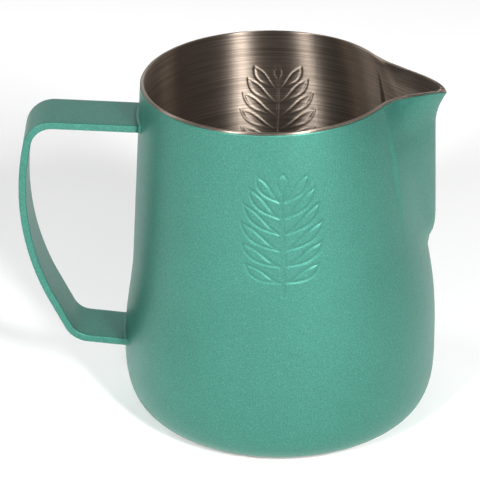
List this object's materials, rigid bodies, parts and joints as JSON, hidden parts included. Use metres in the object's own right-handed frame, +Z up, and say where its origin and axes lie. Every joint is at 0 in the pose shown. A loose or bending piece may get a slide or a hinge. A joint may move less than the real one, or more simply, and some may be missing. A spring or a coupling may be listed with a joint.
{
  "type": "milk frothing pitcher",
  "caption": "Round-bellied steel pitcher with a pointed pouring spout, a bent strap handle and a satin metallic green coat outside, bare brushed steel inside.",
  "frame": {"origin": "centre of the flat base, on the surface it stands on", "axes": "+Z up, +X towards the tip of the spout, handle on the -X side, symmetric about the plane y = 0"},
  "size_m": [0.132, 0.0988, 0.11],
  "materials": {
    "steel": "bare brushed stainless steel, brushed around the axis",
    "coat": "satin metallic green coat with a fine grain"
  },
  "bodies": {
    "root": {"body_shell": "steel", "body_coating": "coat", "handle_strap": "coat", "upper_weld": "coat", "lower_weld": "coat"}
  },
  "joints": []
}
